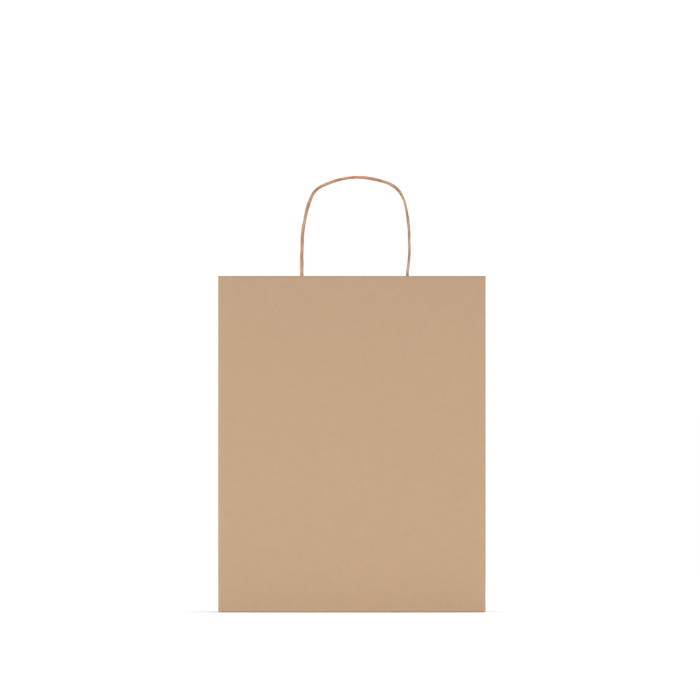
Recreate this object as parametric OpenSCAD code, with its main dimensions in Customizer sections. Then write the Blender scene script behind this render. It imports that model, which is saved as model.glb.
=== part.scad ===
// Paper carrier bag with a folded gusset on each side, a glued block
// bottom and two twisted paper cord handles. It stands open at rest.
// Origin: centre of the base. +X across the face, +Y towards the back,
// +Z up.

/* [Bag body] */
// Width of the front and back faces
bag_w = 250; // [200:1:320]
// Height from the base to the straight cut rim
bag_h = 314; // [240:1:420]
// Depth of the open bag, across the gussets
bag_d = 110; // [90:1:125]
// Thickness of one layer of paper
paper_t = 0.2; // [0.15:0.05:0.25]
// Overlap of the two long bottom flaps
bottom_lap = 26; // [16:1:34]
// Reach of each short bottom flap under the gusset
end_flap_len = 68; // [56:1:80]

/* [Handles] */
// Diameter of the twisted paper cord
cord_d = 3; // [2.8:0.1:3.8]
// Height of the bend line of the cord above the rim
pivot_rise = 2.6; // [2.5:0.1:3.2]
// Length of cord that is glued below the rim
cord_hold = 38; // [30:1:42]
// Width of the handle patch
patch_w = 128; // [124:1:130]
// Height of the handle patch
patch_h = 42; // [38:1:46]
// Gap from the rim to the top of the handle patch
patch_drop = 3; // [2:0.5:8]

/* [Side seam] */
// Width of the glued lap that closes the sheet into a tube
seam_w = 20; // [14:1:26]
// Distance from the corner crease to the glued lap
seam_inset = 6; // [5:0.5:9]

/* [Hidden] */

t = paper_t;
hw = bag_w / 2;
hd = bag_d / 2;
cord_r = cord_d / 2;
// top of the three layers of the bottom
zb = 3 * t;
// height of the horizontal crease across the back
crease_z = zb + hd;
// clearance between edges that part as the bag folds
gap = 0.15;
// tip taken off the rear corner of each gusset foot
tip = 2.8;
// how far the gusset foot stands behind the outside of the gusset
foot_in = t + 0.06;
// centre of the cord, in from the outside of the face
cord_y = hd - t - t - cord_r;
pivot_z = bag_h + pivot_rise;
// where the two legs of a handle cross the rim
leg_l = -47;
leg_r = 52;
paper_col = [0.775, 0.651, 0.538];
inner_col = [0.74, 0.61, 0.49];
cord_col = [0.80, 0.60, 0.42];

// Centre line of a handle above its bend line, as [x, height]
loop_pts = [
    [-47, 0], [-47.1, 4], [-46.9, 10], [-46.9, 18], [-46.6, 26],
    [-46.3, 35], [-45.6, 43], [-44.2, 49], [-42.9, 55], [-41.6, 61],
    [-39.9, 66.5], [-38, 71], [-34.9, 76], [-30.5, 80], [-25.8, 82.7],
    [-20.5, 84.9], [-14.6, 86.9], [-8.5, 88.5], [-2, 89.4], [5, 89.8],
    [11.6, 89.6], [19.1, 88.4], [26.5, 86.6], [33.5, 84.2], [39, 81],
    [43.4, 77], [46.4, 72.5], [49, 67], [50.8, 59], [52.2, 49.5],
    [53, 41], [53.4, 31], [53.5, 22], [53.1, 14], [52.4, 6],
    [52, 2], [52, 0]
];

// Unit tangent of the centre line at point i, in the loop's own plane
function sub(a, b) = [a[0] - b[0], a[1] - b[1]];
function unit(v) = v / norm(v);
function tangent(p, i) =
    i == 0 ? [0, 1] :
    i == len(p) - 1 ? [0, -1] :
    unit(sub(p[i + 1], p[i - 1]));

// Round tube swept along a plane centre line in XZ
module swept_cord(p, r, sides = 10) {
    n = len(p);
    verts = [for (i = [0:n - 1]) let (u = tangent(p, i), nx = -u[1], nz = u[0])
        for (k = [0:sides - 1]) let (a = 360 * k / sides)
            [p[i][0] + r * cos(a) * nx, -r * sin(a), p[i][1] + r * cos(a) * nz]];
    walls = [for (i = [0:n - 2]) for (k = [0:sides - 1]) let (m = (k + 1) % sides)
        each [[i * sides + k, (i + 1) * sides + k, (i + 1) * sides + m],
              [i * sides + k, (i + 1) * sides + m, i * sides + m]]];
    first = [for (k = [0:sides - 1]) k];
    last = [for (k = [sides - 1:-1:0]) (n - 1) * sides + k];
    polyhedron(points = verts, faces = concat(walls, [first], [last]));
}

// One twisted cord loop about its bend line, with a round knuckle at the
// foot of each leg
module cord_loop() {
    swept_cord(loop_pts, cord_r);
    for (x = [leg_l, leg_r]) translate([x, 0, 0]) sphere(r = cord_r, $fn = 32);
}

// The two ends of a cord, glued inside the face
module cord_ends() {
    top = bag_h + 0.2;
    bottom = bag_h - cord_hold;
    for (x = [leg_l, leg_r])
        translate([x, 0, bottom]) cylinder(r = cord_r, h = top - bottom, $fn = 32);
}

// Flat strip of the handle patch that is glued to the face
module patch_backing() {
    translate([2.5 - patch_w / 2, hd - 2 * t, bag_h - patch_drop - patch_h])
        cube([patch_w, t, patch_h]);
}

// Cover strip of the handle patch, pressed down round both cord ends
module patch_cover() {
    y0 = hd - 2 * t;
    translate([0, 0, bag_h - patch_drop - patch_h])
        linear_extrude(height = patch_h)
            difference() {
                union() {
                    translate([2.5 - patch_w / 2, y0 - t]) square([patch_w, t]);
                    for (x = [leg_l, leg_r]) translate([x, cord_y]) {
                        circle(r = cord_r + t, $fn = 48);
                        translate([-cord_r - t, 0]) square([2 * (cord_r + t), cord_r]);
                    }
                }
                for (x = [leg_l, leg_r]) translate([x, cord_y]) {
                    circle(r = cord_r, $fn = 48);
                    translate([-cord_r, 0]) square([2 * cord_r, cord_r + 2 * t]);
                }
                translate([-bag_w, y0]) square([2 * bag_w, 10]);
            }
}

// Upper part of one gusset half, cut at 45 degrees above the gusset foot.
// Drawn for the rear half of the right gusset.
module gusset_half() {
    translate([hw - t, 0, 0]) rotate([90, 0, 90])
        linear_extrude(height = t)
            polygon([[hd - t, zb + 0.5], [hd - t, bag_h], [0, bag_h], [0, crease_z - t + 0.5]]);
}

// Triangle at the foot of a gusset, standing on the edge of the base and
// just behind the two gusset halves, so that it can fold in past them
module gusset_foot() {
    e = hd - t - gap;
    translate([hw - t - foot_in, 0, 0]) rotate([90, 0, 90])
        linear_extrude(height = t)
            polygon([[-e, zb], [e - tip, zb], [e - tip, zb + tip], [0, zb + e]]);
}

// Long bottom flap with 45 degree ends, drawn for the back edge
module long_flap() {
    reach = hd + bottom_lap / 2;
    linear_extrude(height = t)
        polygon([[-hw, hd], [hw, hd], [hw - reach, hd - reach], [-hw + reach, hd - reach]]);
}

// Short bottom flap, drawn for the right end
module end_flap() {
    e = hd - t;
    linear_extrude(height = t)
        polygon([[hw, -e], [hw, e], [hw - 20, e], [hw - end_flap_len, e - 30],
                 [hw - end_flap_len, -e + 30], [hw - 20, -e]]);
}

module front_panel() {
    color(paper_col) translate([-hw, -hd, 0]) cube([bag_w, t, bag_h]);
}

module back_panel() {
    color(paper_col) translate([-hw, hd - t, crease_z]) cube([bag_w, t, bag_h - crease_z]);
}

module back_panel_lower() {
    color(paper_col) translate([-hw, hd - t, zb]) cube([bag_w, t, crease_z - zb]);
}

module right_gusset_rear() {
    color(paper_col) gusset_half();
}

module right_gusset_front() {
    color(paper_col) mirror([0, 1, 0]) gusset_half();
}

module left_gusset_rear() {
    color(paper_col) mirror([1, 0, 0]) gusset_half();
}

module left_gusset_front() {
    color(paper_col) mirror([1, 0, 0]) mirror([0, 1, 0]) gusset_half();
}

module right_gusset_foot() {
    color(paper_col) gusset_foot();
}

module left_gusset_foot() {
    color(paper_col) mirror([1, 0, 0]) gusset_foot();
}

module bottom_front_flap() {
    color(paper_col)
        intersection() {
            mirror([0, 1, 0]) long_flap();
            translate([-hw, -hd + t, -1]) cube([bag_w, bag_d, 4]);
        }
}

module bottom_back_flap() {
    color(paper_col) translate([0, 0, t]) long_flap();
}

module bottom_end_flap_right() {
    color(paper_col) translate([0, 0, 2 * t]) end_flap();
}

module bottom_end_flap_left() {
    color(paper_col) translate([0, 0, 2 * t]) mirror([1, 0, 0]) end_flap();
}

module side_seam_flap() {
    color(inner_col) translate([-hw + t + seam_inset, hd - 2 * t, crease_z + 2])
        cube([seam_w, t, bag_h - crease_z - 3]);
}

module back_patch_backing() {
    color(inner_col) patch_backing();
}

module back_patch_cover() {
    color(inner_col) patch_cover();
}

module back_cord_ends() {
    color(cord_col) translate([0, cord_y, 0]) cord_ends();
}

module front_patch_backing() {
    color(inner_col) mirror([0, 1, 0]) patch_backing();
}

module front_patch_cover() {
    color(inner_col) mirror([0, 1, 0]) patch_cover();
}

module front_cord_ends() {
    color(cord_col) translate([0, -cord_y, 0]) cord_ends();
}

module front_handle() {
    color(cord_col) translate([0, -cord_y, pivot_z]) cord_loop();
}

module back_handle() {
    color(cord_col) translate([0, cord_y, pivot_z]) cord_loop();
}

front_panel();
back_panel();
back_panel_lower();
left_gusset_front();
left_gusset_rear();
left_gusset_foot();
right_gusset_front();
right_gusset_rear();
right_gusset_foot();
bottom_front_flap();
bottom_back_flap();
bottom_end_flap_left();
bottom_end_flap_right();
side_seam_flap();
front_patch_backing();
front_patch_cover();
front_cord_ends();
back_patch_backing();
back_patch_cover();
back_cord_ends();
front_handle();
back_handle();
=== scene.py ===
"""Looks of the gift bag: a brown paper carrier bag with folded gussets, a
block bottom and two twisted paper cord handles, built round the CAD frame.

Every sheet of paper is a thin closed mesh made in code from a surface
function, so the waviness, the rounded creases and the pressed down patches
are geometry. Lengths inside the helpers are millimetres in the row frame.
"""

import math

import bpy
import numpy as np
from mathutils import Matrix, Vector


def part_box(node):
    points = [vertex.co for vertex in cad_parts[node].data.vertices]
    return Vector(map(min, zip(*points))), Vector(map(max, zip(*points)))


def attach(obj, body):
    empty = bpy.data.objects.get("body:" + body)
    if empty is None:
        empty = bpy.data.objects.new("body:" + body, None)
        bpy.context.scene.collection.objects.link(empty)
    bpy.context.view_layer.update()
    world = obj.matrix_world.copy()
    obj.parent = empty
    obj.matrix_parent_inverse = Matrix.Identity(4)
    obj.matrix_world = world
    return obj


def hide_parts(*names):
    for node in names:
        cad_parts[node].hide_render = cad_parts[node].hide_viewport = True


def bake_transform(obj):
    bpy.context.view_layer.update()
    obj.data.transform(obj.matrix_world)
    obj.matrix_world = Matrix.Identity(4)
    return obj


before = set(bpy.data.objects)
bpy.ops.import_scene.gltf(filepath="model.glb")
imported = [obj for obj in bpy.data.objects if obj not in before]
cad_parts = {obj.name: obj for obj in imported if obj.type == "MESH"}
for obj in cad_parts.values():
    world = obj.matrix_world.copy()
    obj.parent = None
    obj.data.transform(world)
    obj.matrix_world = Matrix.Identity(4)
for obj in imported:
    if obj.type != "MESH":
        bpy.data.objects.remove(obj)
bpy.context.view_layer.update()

# ---------------------------------------------------------------- frame sizes


def mm_box(node):
    lo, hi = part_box(node)
    return np.array(lo) * 1000.0, np.array(hi) * 1000.0


f_lo, f_hi = mm_box("front_panel")
b_lo, b_hi = mm_box("back_panel")
l_lo, l_hi = mm_box("back_panel_lower")
p_lo, p_hi = mm_box("front_patch_backing")
s_lo, s_hi = mm_box("side_seam_flap")
c_lo, c_hi = mm_box("front_cord_ends")
e_lo, e_hi = mm_box("bottom_end_flap_right")
h_lo, h_hi = mm_box("front_handle")
bf_lo, bf_hi = mm_box("bottom_front_flap")

HW = f_hi[0]                      # half the width of a face
H = f_hi[2]                       # height of the rim
HD = b_hi[1]                      # half the depth
T = f_hi[1] - f_lo[1]             # thickness of one layer
ZB = l_lo[2]                      # top of the three bottom layers
CZ = b_lo[2]                      # height of the crease across the back
PX0, PX1, PZ0, PZ1 = p_lo[0], p_hi[0], p_lo[2], p_hi[2]
R_CAD = (c_hi[1] - c_lo[1]) / 2   # radius of the CAD cord
CORD_Y = (c_hi[1] + c_lo[1]) / 2  # its centre behind the front face
LEG_L, LEG_R = c_lo[0] + R_CAD, c_hi[0] - R_CAD
CORD_Z0 = c_lo[2]                 # lower end of the glued cord
PIVOT_Z = H + 2.6                 # bend line of the handles
LAP = bf_hi[1]                    # how far the front flap passes the middle
END_LEN = e_hi[0] - e_lo[0]       # reach of an end flap

# Centre line of a handle above its bend line: the CAD's points, with the
# right leg and both shoulders drawn out by up to 0.8 mm to the line seen
LOOP = [
    (-47, 0), (-47.1, 4), (-46.9, 10), (-46.9, 18), (-46.6, 26),
    (-46.3, 35), (-45.6, 43), (-44.2, 49), (-42.9, 55), (-41.6, 61),
    (-40, 66.5), (-38.2, 71.1), (-35.3, 76.2), (-30.9, 80.2), (-26, 82.8),
    (-20.5, 84.9), (-14.6, 86.9), (-8.5, 88.5), (-2, 89.4), (5, 89.8),
    (11.6, 89.6), (19.1, 88.4), (26.5, 86.8), (33.7, 84.6), (39.3, 81.4),
    (43.9, 77.4), (47, 72.8), (49.3, 67.1), (51, 59), (52.6, 49.5),
    (53.4, 41), (53.7, 31), (53.8, 22), (53.5, 14), (52.8, 6),
    (52.1, 2), (52, 0),
]

# ------------------------------------------------------------ small functions


def sm(x):
    x = np.clip(x, 0.0, 1.0)
    return x * x * (3 - 2 * x)


def waves(seed, count, short, long):
    """A smooth random height from sines with wavelengths short..long in mm."""
    rs = np.random.RandomState(seed)
    parts = []
    for _ in range(count):
        length = math.exp(rs.uniform(math.log(short), math.log(long)))
        turn = rs.uniform(0, 2 * math.pi)
        k = 2 * math.pi / length
        parts.append((length, k * math.cos(turn), k * math.sin(turn), rs.uniform(0, 2 * math.pi)))
    total = math.sqrt(sum(p[0] ** 2 for p in parts))

    def f(a, b):
        out = 0.0
        for w, ka, kb, ph in parts:
            out = out + w * np.sin(ka * a + kb * b + ph)
        return out / total

    return f


def corner(e, r):
    """How far a surface steps back at distance e from a fold of radius r."""
    e = np.maximum(e, 0.02 * r)
    inside = np.maximum(r - e, 0.0)
    return np.where(e < r, r - np.sqrt(np.maximum(r * r - inside * inside, 0.0)), 0.0)


def bead(e, w):
    """A shallow dip beside a fold, nothing at the fold itself."""
    e = np.maximum(e, 0.0)
    return (e / w) * np.exp(1 - e / w)


FOLD_R = 0.75     # radius of the upright corner folds
BASE_R = 0.8      # radius of the folds round the base
CUT = 1 - math.sqrt(0.5)
TILT = 1.0        # how far the tip of a gusset foot is pressed in
BOW = 2.2         # how sharply a gusset bows in towards its crease


def steps(a, b, step, fine=()):
    """Numbers from a to b, about step apart, with closer ones round each
    (place, reach, gap) in fine."""
    out = [a, b]
    n = max(2, int(round((b - a) / step)))
    out += [a + (b - a) * i / n for i in range(1, n)]
    for place, reach, gap in fine:
        k = int(round(reach / gap))
        out = [x for x in out if abs(x - place) > reach + 0.4 * gap or x in (a, b)]
        out += [place + gap * i for i in range(-k, k + 1) if a < place + gap * i < b]
    out = sorted(out)
    kept = [out[0]]
    for x in out[1:]:
        if x - kept[-1] > 0.03:
            kept.append(x)
    kept[-1] = b
    return np.array(kept)


def sheet_piece(name, U, V, surface, inward, thick, material, marks=None):
    """A closed thin sheet. U and V are grids of sheet coordinates, surface
    gives the outer face and inward points from it into the paper."""
    eps = 0.02
    P = surface(U, V)
    du = surface(U + eps, V) - surface(U - eps, V)
    dv = surface(U, V + eps) - surface(U, V - eps)
    N = np.cross(du, dv)
    N /= np.maximum(np.linalg.norm(N, axis=-1, keepdims=True), 1e-12)
    flip = np.sum(N * np.array(inward, float), axis=-1, keepdims=True) < 0
    N = np.where(flip, -N, N)
    Q = P + N * thick
    nu, nv = U.shape
    idx = np.arange(nu * nv).reshape(nu, nv)
    top = nu * nv
    a, b, c, d = idx[:-1, :-1], idx[1:, :-1], idx[1:, 1:], idx[:-1, 1:]
    outer = np.stack([a, b, c, d], -1).reshape(-1, 4)
    # outward facing order for the outer side
    n0 = np.cross(P[1, 0] - P[0, 0], P[0, 1] - P[0, 0])
    if float(np.dot(n0, np.array(inward, float))) > 0:
        outer = outer[:, ::-1]
        forward = False
    else:
        forward = True
    inner = outer[:, ::-1] + top
    ring = list(idx[:, 0]) + list(idx[-1, 1:]) + list(idx[-2::-1, -1]) + list(idx[0, -2:0:-1])
    walls = []
    for i in range(len(ring)):
        p, q = int(ring[i]), int(ring[(i + 1) % len(ring)])
        walls.append((q, p, p + top, q + top) if forward else (p, q, q + top, p + top))
    faces = [tuple(int(x) for x in f) for f in outer] + [tuple(int(x) for x in f) for f in inner] + walls
    verts = np.concatenate([P.reshape(-1, 3), Q.reshape(-1, 3)]) / 1000.0
    mesh = bpy.data.meshes.new(name)
    mesh.from_pydata(verts.tolist(), [], faces)
    mesh.update()
    # per point masks: crease wear, and the painted shade line along rims, crease cores and lapped sheet edges
    for key in ("crease", "edge"):
        layer = mesh.attributes.new(key, "FLOAT", "POINT")
        value = np.zeros(U.shape)
        if marks and key in marks:
            value = np.broadcast_to(np.clip(marks[key](U, V), 0, 1), U.shape)
        flat = np.concatenate([value.reshape(-1), value.reshape(-1)]).astype(np.float32)
        layer.data.foreach_set("value", flat)
    mesh.materials.append(material)
    mesh.shade_smooth()
    mesh.set_sharp_from_angle(angle=math.radians(38))
    obj = bpy.data.objects.new(name, mesh)
    bpy.context.scene.collection.objects.link(obj)
    return obj


# ------------------------------------------------------------------ materials


def srgb(r, g, b, gain=1.0):
    def lin(c):
        c /= 255.0
        return c / 12.92 if c <= 0.04045 else ((c + 0.055) / 1.055) ** 2.4
    return (lin(r) * gain, lin(g) * gain, lin(b) * gain, 1.0)


class Nodes:
    """Short names for the shader nodes used below."""

    def __init__(self, name):
        self.mat = bpy.data.materials.new(name)
        self.mat.use_nodes = True
        self.tree = self.mat.node_tree
        self.tree.nodes.clear()

    def add(self, kind, **values):
        n = self.tree.nodes.new(kind)
        for k, v in values.items():
            setattr(n, k, v)
        return n

    def link(self, a, b):
        self.tree.links.new(a, b)

    def object_coords(self, scale):
        tc = self.add("ShaderNodeTexCoord")
        mp = self.add("ShaderNodeMapping")
        mp.inputs["Scale"].default_value = scale
        self.link(tc.outputs["Object"], mp.inputs["Vector"])
        return mp.outputs["Vector"]

    def noise(self, vector, scale, detail=3.0, rough=0.55, distortion=0.0):
        n = self.add("ShaderNodeTexNoise")
        n.inputs["Scale"].default_value = scale
        n.inputs["Detail"].default_value = detail
        n.inputs["Roughness"].default_value = rough
        n.inputs["Distortion"].default_value = distortion
        self.link(vector, n.inputs["Vector"])
        return n.outputs["Fac"]

    def ramp(self, fac, stops):
        r = self.add("ShaderNodeValToRGB")
        el = r.color_ramp.elements
        while len(el) > 1:
            el.remove(el[-1])
        el[0].position, el[0].color = stops[0]
        for pos, col in stops[1:]:
            e = el.new(pos)
            e.color = col
        self.link(fac, r.inputs["Fac"])
        return r.outputs["Color"]

    def grey(self, fac, stops):
        return self.ramp(fac, [(p, (v, v, v, 1.0)) for p, v in stops])

    def mix(self, fac, a, b, blend="MIX"):
        m = self.add("ShaderNodeMix", data_type="RGBA", blend_type=blend)
        for sock, val in ((m.inputs[0], fac), (m.inputs[6], a), (m.inputs[7], b)):
            if isinstance(val, (int, float)):
                sock.default_value = val
            elif isinstance(val, tuple):
                sock.default_value = val
            else:
                self.link(val, sock)
        return m.outputs[2]

    def math(self, op, a, b=None, clamp=False):
        m = self.add("ShaderNodeMath", operation=op, use_clamp=clamp)
        for sock, val in ((m.inputs[0], a), (m.inputs[1], b)):
            if val is None:
                continue
            if isinstance(val, (int, float)):
                sock.default_value = val
            else:
                self.link(val, sock)
        return m.outputs[0]

    def attribute(self, name, out="Fac"):
        a = self.add("ShaderNodeAttribute", attribute_name=name)
        return a.outputs[out]

    def finish(self, colour, rough, height, strength, distance, specular=0.35):
        bsdf = self.add("ShaderNodeBsdfPrincipled")
        out = self.add("ShaderNodeOutputMaterial")
        self.link(colour, bsdf.inputs["Base Color"])
        self.link(rough, bsdf.inputs["Roughness"])
        bsdf.inputs["Specular IOR Level"].default_value = specular
        bump = self.add("ShaderNodeBump")
        bump.inputs["Strength"].default_value = strength
        bump.inputs["Distance"].default_value = distance
        self.link(height, bump.inputs["Height"])
        self.link(bump.outputs["Normal"], bsdf.inputs["Normal"])
        self.link(bsdf.outputs["BSDF"], out.inputs["Surface"])
        return self.mat


FACE_GAIN = 0.611
CORD_GAIN = 0.66


def paper_material(name, along, tint=(198, 166, 135), gain=FACE_GAIN, fibre=1.0):
    """Uncoated brown paper: cloudy formation, short fibres that lie mostly
    along one direction, a fine tooth, creases rubbed a little warmer, and a
    painted shade line along the rim, the crease cores and the cut edges of lapped sheets."""
    n = Nodes(name)
    plain = n.object_coords((1, 1, 1))
    base = srgb(*tint, gain)
    light = tuple(min(c * 1.035, 1.0) for c in base[:3]) + (1.0,)
    dark = tuple(c * 0.962 for c in base[:3]) + (1.0,)
    cloud = n.noise(plain, 210.0, 5.0, 0.68)
    colour = n.ramp(cloud, [(0.30, dark), (0.5, base), (0.70, light)])
    broad = n.noise(plain, 9.0, 2.0, 0.5)
    colour = n.mix(n.math("MULTIPLY", broad, 0.4), colour,
                   (base[0] * 1.005, base[1] * 0.975, base[2] * 0.97, 1.0))
    tooth = n.noise(plain, 1500.0, 3.0, 0.6)
    colour = n.mix(0.55, colour, n.grey(tooth, [(0.25, 0.86), (0.75, 1.0)]), "MULTIPLY")
    # long fibres, a few millimetres by a tenth
    short, lng = 2600.0, 260.0
    scale = {"x": (lng, short, short), "z": (short, short, lng)}[along]
    v1 = n.object_coords(scale)
    f1 = n.noise(v1, 1.0, 2.0, 0.5, 0.6)
    pale = n.grey(f1, [(0.60, 0.0), (0.74, 1.0)])
    colour = n.mix(n.math("MULTIPLY", pale, 0.16 * fibre), colour, srgb(226, 201, 172, gain))
    mp = n.object_coords(tuple(s * 0.71 for s in scale))
    turned = n.add("ShaderNodeMapping")
    turned.inputs["Rotation"].default_value = (0.35, 0.5, 0.3)
    n.link(mp, turned.inputs["Vector"])
    f2 = n.noise(turned.outputs["Vector"], 1.0, 2.0, 0.5, 0.8)
    deep = n.grey(f2, [(0.62, 0.0), (0.78, 1.0)])
    colour = n.mix(n.math("MULTIPLY", deep, 0.20 * fibre), colour, srgb(160, 124, 92, gain))
    # a few darker specks of bark
    vor = n.add("ShaderNodeTexVoronoi", feature="F1")
    vor.inputs["Scale"].default_value = 150.0
    n.link(plain, vor.inputs["Vector"])
    speck = n.grey(vor.outputs["Distance"], [(0.035, 1.0), (0.06, 0.0)])
    speck = n.math("MULTIPLY", speck, n.grey(n.noise(plain, 33.0, 1.0), [(0.55, 0.0), (0.62, 1.0)]))
    colour = n.mix(n.math("MULTIPLY", speck, 0.38), colour, srgb(138, 100, 70, gain))
    # creases are rubbed a little warmer; painted shade darkens the rim, the crease cores and the cut edges of
    # lapped sheets
    crease = n.attribute("crease")
    worn = n.math("MULTIPLY", crease, n.grey(n.noise(plain, 420.0, 3.0, 0.65), [(0.3, 0.45), (0.7, 1.0)]))
    colour = n.mix(n.math("MULTIPLY", worn, 0.55, True), colour, srgb(207, 166, 131, gain))
    edge = n.attribute("edge")
    colour = n.mix(n.math("MULTIPLY", edge, 0.5, True), colour, srgb(172, 138, 108, gain))
    rough = n.grey(n.noise(plain, 700.0, 2.0), [(0.2, 0.74), (0.8, 0.88)])
    height = n.math("ADD", n.math("MULTIPLY", tooth, 0.6), n.math("MULTIPLY", f1, 0.55))
    height = n.math("ADD", height, n.math("MULTIPLY", cloud, 0.35))
    return n.finish(colour, rough, height, 0.42, 0.00012)


def cord_material(name, gain=CORD_GAIN):
    """Twisted paper cord: a strip wound on itself, painted darker on one side of
    each turn and lighter on the other as painted shade and highlight, with a
    painted shadow line where the strip overlaps itself, and long wrinkles that
    follow the twist, painted darker in their low places as painted shade."""
    n = Nodes(name)
    attr = n.add("ShaderNodeAttribute", attribute_name="twist")
    vec = attr.outputs["Vector"]
    sep = n.add("ShaderNodeSeparateXYZ")
    n.link(vec, sep.inputs["Vector"])
    # painted shade and highlight: round each turn of the strip the colour runs from dark to light with the twist
    # angle
    mid = srgb(203, 146, 108, gain)
    twist_shade_and_highlight = n.math("MULTIPLY_ADD", sep.outputs["X"], 0.5)
    twist_shade_and_highlight.node.inputs[2].default_value = 0.5
    colour = n.ramp(twist_shade_and_highlight, [(0.0, srgb(176, 120, 84, gain)), (0.14, srgb(194, 136, 98, gain)),
                             (0.55, mid), (1.0, srgb(216, 162, 124, gain))])
    mp = n.add("ShaderNodeMapping")
    mp.inputs["Scale"].default_value = (2.6, 2.6, 55.0)
    n.link(vec, mp.inputs["Vector"])
    wrinkle_bump_and_shade = n.noise(mp.outputs["Vector"], 1.6, 4.0, 0.62, 0.3)
    # painted shade: the wrinkle noise also darkens the colour in its troughs
    colour = n.mix(0.75, colour, n.grey(wrinkle_bump_and_shade, [(0.28, 0.84), (0.5, 0.98), (0.8, 1.0)]), "MULTIPLY")
    plain = n.object_coords((1, 1, 1))
    fine = n.noise(plain, 1900.0, 3.0, 0.6)
    colour = n.mix(0.45, colour, n.grey(fine, [(0.25, 0.84), (0.75, 1.0)]), "MULTIPLY")
    patchy = n.noise(plain, 110.0, 2.0, 0.5)
    colour = n.mix(n.math("MULTIPLY", n.grey(patchy, [(0.4, 0.0), (0.7, 1.0)]), 0.35), colour,
                   srgb(214, 160, 120, gain))
    rough = n.grey(wrinkle_bump_and_shade, [(0.2, 0.60), (0.8, 0.82)])
    height = n.math("ADD", n.math("MULTIPLY", wrinkle_bump_and_shade, 1.2), n.math("MULTIPLY", fine, 0.4))
    return n.finish(colour, rough, height, 0.5, 0.00016, 0.4)


paper_up = paper_material("brown_paper_upright", "z")
paper_flat = paper_material("brown_paper_base", "x")
paper_patch = paper_material("patch_brown_paper", "x", (190, 156, 126), FACE_GAIN, 1.2)
cord_mat = cord_material("twisted_paper_cord")

# ------------------------------------------------------------------- surfaces

front_wave = waves(11, 9, 70, 260)
back_wave = waves(23, 9, 60, 240)
rim_wave = waves(31, 5, 60, 190)
left_wave = waves(41, 8, 45, 170)
right_wave = waves(53, 8, 45, 170)
base_wave = waves(61, 6, 60, 180)


def over_patch(x, z):
    return (sm((x - PX0 + 12) / 12) * sm((PX1 + 12 - x) / 12) * sm((z - PZ0 + 12) / 12))


def front_face(x, z):
    e = HW - np.abs(x)
    window = sm(e / 32) * sm(z / 38) * (1 - 0.75 * over_patch(x, z))
    back = corner(e, FOLD_R) + 0.12 * bead(e, 3.2) + corner(z, BASE_R) + 0.10 * bead(z, 3.0)
    y = -HD + back - window * (0.30 * front_wave(x, z) + 0.10)
    y = y - 0.16 * sm((z - H + 26) / 26) * sm(e / 30) * rim_wave(x, z) * (1 - 0.8 * over_patch(x, z))
    return np.stack([x + 0 * z, y, z + 0 * x], -1)


def back_face(x, z):
    e = HW - np.abs(x)
    window = sm(e / 32) * sm(z / 30) * (1 - 0.75 * over_patch(x, z))
    back = corner(e, FOLD_R) + 0.12 * bead(e, 3.2) + corner(z, BASE_R) + 0.10 * bead(z, 3.0)
    # the crease across the back stays a little open and pressed in
    near = np.abs(z - CZ)
    back = back + sm(e / 22) * (0.75 * np.clip(1 - near / 34, 0, 1) ** 1.4)
    back = back + 0.22 * np.exp(-(near / 0.7) ** 2) * sm(e / 3)
    y = HD - back + window * (0.55 * back_wave(x, z) + 0.15)
    y = y + 0.35 * sm((z - H + 30) / 30) * sm(e / 30) * rim_wave(x + 400, z) * (1 - 0.8 * over_patch(x, z))
    return np.stack([x + 0 * z, y, z + 0 * x], -1)


def gusset_face(side, wave, push):
    def f(y, z):
        e = HD - np.abs(y)
        diag = (z - (ZB + HD - np.abs(y))) / math.sqrt(2)
        tent = np.clip(1 - np.abs(y) / HD, 0, 1) ** BOW
        fold = TILT + (push - TILT) * sm((z - CZ) / (H - CZ - 40))
        back = corner(e, FOLD_R) + 0.12 * bead(e, 3.2) + fold * tent
        back = back + 0.22 * np.exp(-(y / 0.6) ** 2) * sm(diag / 6)
        back = back + (sm(e / 42) * sm(diag / 30)
                       * (0.25 + 0.5 * wave(y, z)) * (1 - 0.6 * np.exp(-(y / 7) ** 2)))
        return np.stack([side * (HW - back), y + 0 * z, z + 0 * y], -1)
    return f


FOOT_R = 0.6      # radius of the fold at the foot of a gusset
FOOT_X = HW - 0.30
FLAP_Z = 2 * T + 0.02
ARC = FOOT_R * math.pi / 2


def foot_height(s):
    """Height on the path that runs out along an end flap (s below 0), round
    the fold and up the gusset foot."""
    turn = np.clip(s / FOOT_R, 0, math.pi / 2)
    return FLAP_Z + FOOT_R * (1 - np.cos(turn)) + np.maximum(s - ARC, 0)


def foot_face(side):
    def f(y, s):
        turn = np.clip(s / FOOT_R, 0, math.pi / 2)
        z = foot_height(s)
        up = np.maximum(z - ZB, 0)
        d1 = (HD - np.abs(y) - up) / math.sqrt(2)
        x = FOOT_X - FOOT_R + FOOT_R * np.sin(turn) + np.minimum(s, 0)
        x = x - np.where(s > ARC, TILT * (up / HD) ** BOW - 0.25 * sm(d1 / 16) * sm((s - ARC) / 14), 0)
        z = z + np.where(s < 0, base_lift(x, y), 0)
        return np.stack([side * x, y + 0 * s, z + 0 * y], -1)
    return f


def base_lift(x, y):
    return (0.12 * sm((HW - np.abs(x)) / 45) * sm((HD - np.abs(y)) / 28)
            * (0.75 + 0.25 * base_wave(x, y)))


def front_flap_face(x, y):
    z = corner(y + HD, BASE_R) + base_lift(x, y)
    return np.stack([x + 0 * y, y + 0 * x, z], -1)


def back_flap_face(x, y):
    z = corner(HD - y, BASE_R) + base_lift(x, y) + (T + 0.02) * (1 - sm((y - LAP - 1) / 8))
    return np.stack([x + 0 * y, y + 0 * x, z], -1)


# ----------------------------------------------------------------- the panels


def near(d, w):
    return np.exp(-(np.maximum(d, 0) / w) ** 2)


def face_marks(x, z):
    e = HW - np.abs(x)
    return np.maximum(near(e, 2.4), near(z, 2.2))


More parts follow.
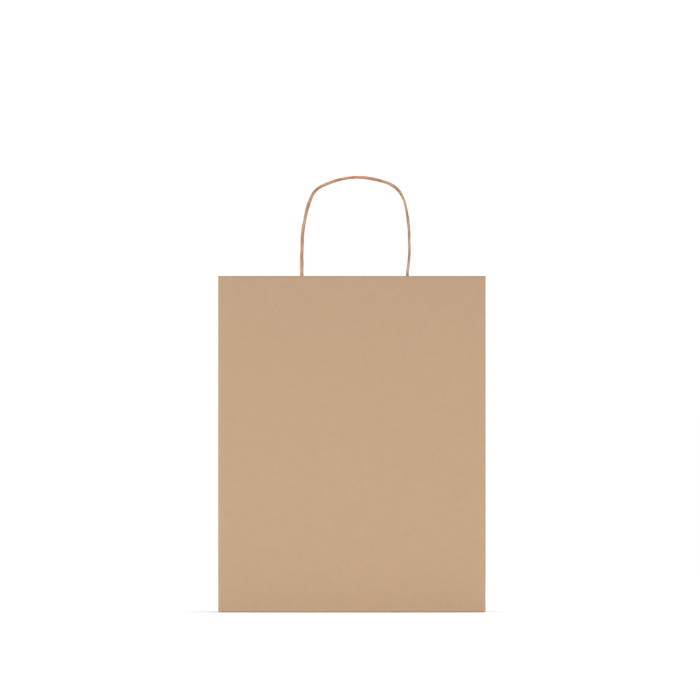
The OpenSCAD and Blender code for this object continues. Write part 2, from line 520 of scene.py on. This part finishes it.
x_lim = HW - CUT * FOLD_R
face_fine = [(-HW, 3.0, 0.3), (HW, 3.0, 0.3)]
xs = steps(-x_lim, x_lim, 5.0, [(-x_lim, 2.7, 0.3), (x_lim, 2.7, 0.3)])
zs = steps(CUT * BASE_R, H, 5.0, [(CUT * BASE_R, 2.4, 0.3), (H, 1.6, 0.4)])
U, V = np.meshgrid(xs, zs, indexing="ij")
# the two lower corners of the face are a little rounded
short = 1.5
U = np.sign(U) * (np.abs(U) - corner(V + 0.1, short) * sm((np.abs(U) - HW + 14) / 14))
# the rim of the front sheet carries the painted shade line
front_sheet = sheet_piece(
    "front_face_sheet", U, V, front_face, (0, 1, 0), T - 0.01, paper_up,
    {"crease": face_marks, "edge": lambda x, z: near(H - z, 1.1)})
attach(front_sheet, "front")
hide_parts("front_panel")

zs = steps(CUT * BASE_R, H, 5.0,
           [(CUT * BASE_R, 2.4, 0.3), (CZ, 3.0, 0.25), (H, 1.6, 0.4)])
U, V = np.meshgrid(xs, zs, indexing="ij")
U = np.sign(U) * (np.abs(U) - corner(V + 0.1, short) * sm((np.abs(U) - HW + 14) / 14))
# painted shade lines along the rim and the core of the back crease
back_sheet = sheet_piece(
    "back_face_sheet", U, V, back_face, (0, -1, 0), T - 0.01, paper_up,
    {"crease": lambda x, z: np.maximum(face_marks(x, z), 0.85 * near(np.abs(z - CZ), 0.9)),
     "edge": lambda x, z: np.maximum(near(H - z, 1.1), 0.55 * near(np.abs(z - CZ), 0.45))})
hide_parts("back_panel", "back_panel_lower")
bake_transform(back_sheet)

y_lim = HD - CUT * FOLD_R
ys = steps(-y_lim, y_lim, 4.0, [(-y_lim, 2.7, 0.3), (y_lim, 2.7, 0.3), (0.0, 2.4, 0.24)])
levels = steps(0.0, 1.0, 1 / 58.0, [(0.0, 0.012, 0.003), (1.0, 0.006, 0.0015)])
levels = np.unique(np.concatenate([np.linspace(0, 1, 60), [0.002, 0.005, 0.009, 0.994, 0.9975]]))
U = np.repeat(ys[:, None], len(levels), 1)
low = np.maximum(ZB + HD - T - np.abs(U) - 0.45, ZB + 0.05)
V = low + (H - low) * levels[None, :]


def gusset_marks(y, z):
    diag = (z - (ZB + HD - np.abs(y))) / math.sqrt(2)
    return np.maximum(np.maximum(near(HD - np.abs(y), 2.4), 0.9 * near(np.abs(y), 0.9)), 0.85 * near(diag, 1.2))


# painted shade lines along the rim, the centre crease and the diagonal crease of a gusset
def gusset_shade_lines(y, z):
    diag = (z - (ZB + HD - np.abs(y))) / math.sqrt(2)
    return np.maximum(near(H - z, 1.1), 0.6 * np.maximum(near(np.abs(y), 0.42), near(diag + 0.3, 0.6)))


for side, word, wave, push in ((-1, "left", left_wave, 3.4), (1, "right", right_wave, 3.0)):
    sheet = sheet_piece(
        word + "_gusset_sheet", U, V, gusset_face(side, wave, push), (-side, 0, 0), T - 0.01,
        paper_up,
        {"crease": gusset_marks, "edge": gusset_shade_lines})
    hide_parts(word + "_gusset_rear", word + "_gusset_front")
    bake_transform(sheet)

# each gusset foot and the end flap under it, one sheet folded at the base
reach = HD - T - 0.1
start = -(END_LEN - (HW - FOOT_X) - FOOT_R)
path = np.concatenate([
    steps(start, 0.0, 4.0, [(start, 0.8, 0.4), (start + END_LEN - 20.9, 1.2, 0.4), (0.0, 1.2, 0.3)]),
    np.linspace(0, ARC, 7)[1:],
    ARC + (reach - 0.9) * np.array([0.004, 0.008, 0.013, 0.02, 0.03, 0.045] + list(np.linspace(0.07, 1, 17)))])
share = np.unique(np.concatenate([np.linspace(-1, 1, 45), [-0.985, 0.985]]))
V = np.repeat(path[None, :], len(share), 0)
X = FOOT_X - FOOT_R + np.minimum(V, 0)
half = np.where(X > HW - 20, reach, reach - 30 * (HW - 20 - X) / (END_LEN - 20))
half = np.where(V > 0, np.maximum(reach - np.maximum(foot_height(V) - ZB, 0), 0.4), half)
# the rear edge stops a little short of the fold of the back
rear = np.minimum(half, reach - 0.3)
U = share[:, None] * np.where(share[:, None] > 0, rear, half)


def foot_marks(y, s):
    d1 = (HD - np.abs(y) - (foot_height(s) - ZB)) / math.sqrt(2)
    return np.maximum(0.85 * near(d1, 1.2) * (s > 0), near(np.abs(s - ARC / 2), 1.8))


# painted shade lines along the diagonal crease of the foot and the free end of the end flap
def foot_shade_lines(y, s):
    d1 = (HD - np.abs(y) - (foot_height(s) - ZB)) / math.sqrt(2)
    return np.where(s > 0, 0.6 * near(d1 - 0.3, 0.5), near(s - start, 0.5))


for side, word in ((-1, "left"), (1, "right")):
    sheet = sheet_piece(
        word + "_foot_and_end_flap_sheet", U, V, foot_face(side), (-side, 0, 1), T - 0.02,
        paper_up, {"crease": foot_marks, "edge": foot_shade_lines})
    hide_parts(word + "_gusset_foot", "bottom_end_flap_" + word)
    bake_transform(sheet)

# bottom flaps
ys = steps(-HD + CUT * BASE_R, LAP, 4.0, [(-HD + CUT * BASE_R, 2.1, 0.3)])
share = np.linspace(-1, 1, 59)
V = np.repeat(ys[None, :], len(share), 0)
half = np.minimum(HW - 0.9, HW - (V + HD) + 0.2)
U = share[:, None] * half
# painted shade line along the cut edges of the front flap
flap = sheet_piece(
    "bottom_front_flap_sheet", U, V, front_flap_face, (0, 0, 1), T - 0.01, paper_flat,
    {"crease": lambda x, y: near(y + HD, 2.2),
     "edge": lambda x, y: np.maximum(near(LAP - y, 0.5), near((HW - (y + HD) - np.abs(x)) / 1.4, 0.5))})
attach(flap, "base")
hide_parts("bottom_front_flap")

ys = steps(-LAP, HD - CUT * BASE_R, 4.0, [(HD - CUT * BASE_R, 2.1, 0.3), (LAP + 5, 4, 1.0)])
V = np.repeat(ys[None, :], len(share), 0)
half = np.minimum(HW - 0.9, HW - (HD - V) + 0.2)
U = share[:, None] * half
# painted shade line along the cut edges of the back flap, where it lies on the front flap
flap = sheet_piece(
    "bottom_back_flap_sheet", U, V, back_flap_face, (0, 0, 1), T - 0.01, paper_flat,
    {"crease": lambda x, y: near(HD - y, 2.2),
     "edge": lambda x, y: np.maximum(near(LAP + y, 0.5), near((HW - (HD - y) - np.abs(x)) / 1.4, 0.5))})
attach(flap, "base")
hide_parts("bottom_back_flap")

# glued lap inside the back panel
xs = steps(s_lo[0], s_hi[0], 2.5, [(s_hi[0], 0.8, 0.4)])
zs = steps(s_lo[2], s_hi[2], 6.0, [(s_hi[2], 1.2, 0.4)])
U, V = np.meshgrid(xs, zs, indexing="ij")
lap_wave = waves(71, 5, 25, 90)


def seam_face(x, z):
    p = back_face(x, z)
    free = sm((x - s_lo[0]) / (s_hi[0] - s_lo[0]))
    p[..., 1] -= T + 0.02 + 0.10 * free * (0.5 + 0.5 * lap_wave(x, z))
    return p


# painted shade line along the free edges of the lap
lap = sheet_piece(
    "side_seam_sheet", U, V, seam_face, (0, -1, 0), T - 0.03, paper_up,
    {"edge": lambda x, z: np.maximum(near(s_hi[0] - x, 0.45), near(s_hi[2] - z, 0.5))})
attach(lap, "back")
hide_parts("side_seam_flap")

# -------------------------------------------------------------------- patches

TENT = ([0.0, 0.4, 0.8, 1.15, 1.5, 2.0, 2.5, 3.1, 3.8, 4.6, 60.0],
        [3.16, 3.12, 2.94, 2.60, 2.10, 1.36, 0.80, 0.34, 0.10, 0.0, 0.0])
pucker = waves(83, 7, 9, 40)


def patch_layers(which, face, sign):
    """Backing strip and cover strip of one handle patch, glued one on the
    other inside the face, the cover pressed down round both cord ends."""
    xs = steps(PX0, PX1, 4.0, [(LEG_L, 5.2, 0.4), (LEG_R, 5.2, 0.4)])
    zs = steps(PZ0, PZ1, 3.0, [(CORD_Z0 - 2, 3.2, 0.8)])
    U, V = np.meshgrid(xs, zs, indexing="ij")

    def backing(x, z):
        p = face(x, z)
        p[..., 1] += sign * (T + 0.01)
        return p

    def tent(x, z):
        d = np.minimum(np.abs(x - LEG_L), np.abs(x - LEG_R))
        grip = sm((z - CORD_Z0 + 5.0) / 5.5)
        h = np.interp(d, TENT[0], TENT[1]) * grip
        loose = sm((np.abs(x - (PX0 + PX1) / 2)) / 30) * 0.5 + 0.5
        return h + 0.05 + 0.05 * loose * pucker(x, z)

    def cover(x, z):
        p = face(x, z)
        p[..., 1] += sign * (2 * T + 0.05 + tent(x, z))
        return p

    # painted shade line along the cut edges of the patch strips
    strip_edge_shade = lambda x, z: np.maximum(near(np.minimum(x - PX0, PX1 - x), 0.5),
                                          near(np.minimum(z - PZ0, PZ1 - z), 0.5))
    back = sheet_piece(which + "_patch_backing_sheet", U, V, backing, (0, sign, 0), T - 0.02,
                       paper_patch, {"edge": strip_edge_shade})
    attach(back, which)
    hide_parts(which + "_patch_backing")
    top = sheet_piece(which + "_patch_cover_sheet", U, V, cover, (0, sign, 0), T - 0.02,
                      paper_patch,
                      {"edge": strip_edge_shade,
                       "crease": lambda x, z: 0.8 * near(np.abs(np.minimum(np.abs(x - LEG_L), np.abs(x - LEG_R)) - 2.6), 1.0)})
    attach(top, which)
    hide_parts(which + "_patch_cover")


patch_layers("front", front_face, 1)
patch_layers("back", back_face, -1)

# ---------------------------------------------------------------------- cords


def cord_line(step):
    """The centre line of one cord in XZ, from the glued left end over the
    loop to the glued right end, at even spacing."""
    pts = [(LEG_L, z) for z in np.arange(CORD_Z0, H - 3, 8.0)]
    pts += [(LEG_L, H - 1.0)]
    pts += [(x, PIVOT_Z + z) for x, z in LOOP]
    pts += [(LEG_R, H - 1.0)]
    pts += [(LEG_R, z) for z in np.arange(CORD_Z0, H - 3, 8.0)[::-1]]
    p = np.array(pts, float)
    q = np.concatenate([[2 * p[0] - p[1]], p, [2 * p[-1] - p[-2]]])
    fine = []
    for i in range(1, len(q) - 2):
        p0, p1, p2, p3 = q[i - 1], q[i], q[i + 1], q[i + 2]
        for t in np.linspace(0, 1, 14, endpoint=False):
            fine.append(0.5 * ((2 * p1) + (p2 - p0) * t + (2 * p0 - 5 * p1 + 4 * p2 - p3) * t * t
                               + (3 * p1 - p0 - 3 * p2 + p3) * t ** 3))
    fine.append(p[-1])
    fine = np.array(fine)
    # take the corners out of the listed points
    for _ in range(4):
        fine[1:-1] = 0.25 * fine[:-2] + 0.5 * fine[1:-1] + 0.25 * fine[2:]
    s = np.concatenate([[0], np.cumsum(np.linalg.norm(np.diff(fine, axis=0), axis=1))])
    n = int(round(s[-1] / step))
    at = np.linspace(0, s[-1], n + 1)
    return at, np.stack([np.interp(at, s, fine[:, 0]), np.interp(at, s, fine[:, 1])], -1)


def cord_piece(name, which, y0, sign, seed):
    at, xz = cord_line(0.7)
    total = at[-1]
    rs = np.random.RandomState(seed)
    ph = rs.uniform(0, 2 * math.pi, 8)
    above = xz[:, 1] - H
    free = sm((above - 12) / 30)
    wob = free * (0.55 * np.sin(at / 21 + ph[0]) + 0.35 * np.sin(at / 9.5 + ph[1]))
    centre = np.stack([xz[:, 0], np.full(len(at), y0) + wob, xz[:, 1]], -1)
    small = free * (0.10 * np.sin(at / 5.3 + ph[2]) + 0.10 * np.sin(at / 11.7 + ph[3]))
    tangent = np.gradient(centre, axis=0)
    tangent /= np.linalg.norm(tangent, axis=1, keepdims=True)
    side = np.cross(tangent, np.array([0.0, 1.0, 0.0]))
    side /= np.linalg.norm(side, axis=1, keepdims=True)
    up = np.cross(side, tangent)
    centre = centre + side * small[:, None]
    # thickness along the cord: full in the left leg up to where one ply
    # ends, slimmer round the loop and down the right leg
    ply = CORD_Z0 + 0.0
    s_rim = H - ply
    marks = np.array([0, s_rim, s_rim + 20, s_rim + 40, s_rim + 46.5, s_rim + 50.5, s_rim + 58,
                      s_rim + 68, s_rim + 80, s_rim + 96, total / 2, total / 2 + 22,
                      total - s_rim - 70, total - s_rim - 30, total - s_rim, total])
    radii = np.array([1.46, 1.50, 1.44, 1.38, 1.54, 1.32, 1.28,
                      1.22, 1.10, 1.00, 0.95, 0.93,
                      1.00, 1.05, 1.04, 1.04])
    radius = np.interp(at, marks, radii)
    radius = np.convolve(np.pad(radius, 4, mode="edge"), np.ones(9) / 9, mode="valid")
    radius = radius * (1 + 0.03 * np.sin(at / 6.1 + ph[4]) + 0.022 * np.sin(at / 3.3 + ph[5]))
    K = 30
    theta = np.arange(K) * 2 * math.pi / K
    turn = 2 * math.pi * at / 21.0 + 1.1 * np.sin(at / 19.0 + ph[6]) + 0.6 * np.sin(at / 7.0 + ph[7])
    phase = theta[None, :] + turn[:, None]
    frac = np.mod(phase / (2 * math.pi), 1.0)
    saw = np.where(frac < 0.84, frac / 0.84 * 2 - 1, 1 - 2 * sm((frac - 0.84) / 0.16))
    crinkle = 0.020 * np.cos(4 * phase + 1.3 * np.sin(at / 4.0)[:, None]) + 0.014 * np.cos(7 * phase + ph[3])
    r = radius[:, None] * (1 + 0.085 * saw + crinkle)
    ring = (centre[:, None, :] + r[:, :, None] * (np.cos(theta)[None, :, None] * side[:, None, :]
                                                  + np.sin(theta)[None, :, None] * up[:, None, :]))
    n = len(at)
    verts = [tuple(v) for v in (ring.reshape(-1, 3) / 1000.0)]
    faces = []
    for i in range(n - 1):
        for k in range(K):
            m = (k + 1) % K
            faces.append((i * K + k, i * K + m, (i + 1) * K + m, (i + 1) * K + k))
    # cut ends, slightly domed
    tw = [(math.cos(p), math.sin(p), s / 1000.0) for p, s in
          zip((phase - 0.92 * 2 * math.pi).reshape(-1), np.repeat(at, K))]
    for end, i, direction in ((0, 0, -1), (1, n - 1, 1)):
        first = len(verts)
        for shrink, push in ((0.72, 0.22), (0.36, 0.34)):
            for k in range(K):
                v = centre[i] + (ring[i, k] - centre[i]) * shrink + direction * tangent[i] * push
                verts.append(tuple(v / 1000.0))
                tw.append(tw[i * K + k])
        verts.append(tuple((centre[i] + direction * tangent[i] * 0.36) / 1000.0))
        tw.append((1.0, 0.0, at[i] / 1000.0))
        tip = len(verts) - 1
        loops = [[i * K + k for k in range(K)], [first + k for k in range(K)], [first + K + k for k in range(K)]]
        for a, b in zip(loops[:-1], loops[1:]):
            for k in range(K):
                m = (k + 1) % K
                faces.append((a[m], a[k], b[k], b[m]) if end == 0 else (a[k], a[m], b[m], b[k]))
        for k in range(K):
            m = (k + 1) % K
            a = loops[-1]
            faces.append((a[m], a[k], tip) if end == 0 else (a[k], a[m], tip))
    mesh = bpy.data.meshes.new(name)
    mesh.from_pydata(verts, [], faces)
    mesh.update()
    layer = mesh.attributes.new("twist", "FLOAT_VECTOR", "POINT")
    layer.data.foreach_set("vector", np.array(tw, np.float32).reshape(-1))
    mesh.materials.append(cord_mat)
    mesh.shade_smooth()
    obj = bpy.data.objects.new(name, mesh)
    bpy.context.scene.collection.objects.link(obj)
    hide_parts(which + "_handle", which + "_cord_ends")
    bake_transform(obj)
    return total


length = cord_piece("front_cord", "front", CORD_Y, 1, 5)
cord_piece("back_cord", "back", -CORD_Y, -1, 9)
print("cord length with both glued ends: %.1f mm" % length)

# ----------------------------------------------------------------------- stage


def floor():
    mesh = bpy.data.meshes.new("studio_floor")
    s = 70.0
    mesh.from_pydata([(-s, -s, -0.0003), (s, -s, -0.0003), (s, s, -0.0003), (-s, s, -0.0003)], [], [(0, 1, 2, 3)])
    mesh.update()
    mat = bpy.data.materials.new("pale_floor")
    mat.use_nodes = True
    bsdf = mat.node_tree.nodes["Principled BSDF"]
    bsdf.inputs["Base Color"].default_value = (0.985, 0.985, 0.985, 1)
    bsdf.inputs["Roughness"].default_value = 1.0
    bsdf.inputs["Specular IOR Level"].default_value = 0.0
    mesh.materials.append(mat)
    obj = bpy.data.objects.new("studio_floor", mesh)
    bpy.context.scene.collection.objects.link(obj)


floor()

world = bpy.data.worlds.new("studio")
bpy.context.scene.world = world
world.use_nodes = True
bg = world.node_tree.nodes["Background"]
bg.inputs["Color"].default_value = (1.0, 1.0, 1.0, 1)
bg.inputs["Strength"].default_value = 1.02


def area(name, place, target, size, power, tall=None):
    data = bpy.data.lights.new(name, "AREA")
    data.shape = "RECTANGLE"
    data.size = size
    data.size_y = tall or size
    data.energy = power
    obj = bpy.data.objects.new(name, data)
    obj.location = place
    obj.rotation_mode = "QUATERNION"
    obj.rotation_quaternion = (Vector(target) - Vector(place)).to_track_quat("-Z", "Y")
    obj.visible_camera = False
    bpy.context.scene.collection.objects.link(obj)


area("key_low_left", (-0.38, -0.66, 0.05), (0, 0, 0.10), 0.24, 2.3)
area("key_low_right", (0.34, -0.66, 0.05), (0, 0, 0.10), 0.24, 1.9)
area("low_strip", (0, -0.185, 0.016), (0, 0, 0.016), 0.30, 0.03, 0.02)
area("top_behind", (0.4, 1.6, 2.1), (0, 0, 0.1), 1.1, 16)

scene = bpy.context.scene
scene.view_settings.view_transform = "Standard"
scene.view_settings.look = "None"
scene.view_settings.exposure = 0.0
scene.view_settings.gamma = 1.0

cam_data = bpy.data.cameras.new("camera")
cam_data.lens = 1200
cam_data.sensor_width = 36
cam_data.clip_start = 0.5
cam_data.clip_end = 120
cam = bpy.data.objects.new("camera", cam_data)
scene.collection.objects.link(cam)
scene.camera = cam
distance = 1200 * 0.654 / 36
cam.location = (-0.00178, -HD / 1000 - distance, 0.2448)
cam.rotation_euler = (math.radians(90), 0, 0)

bpy.context.view_layer.update()
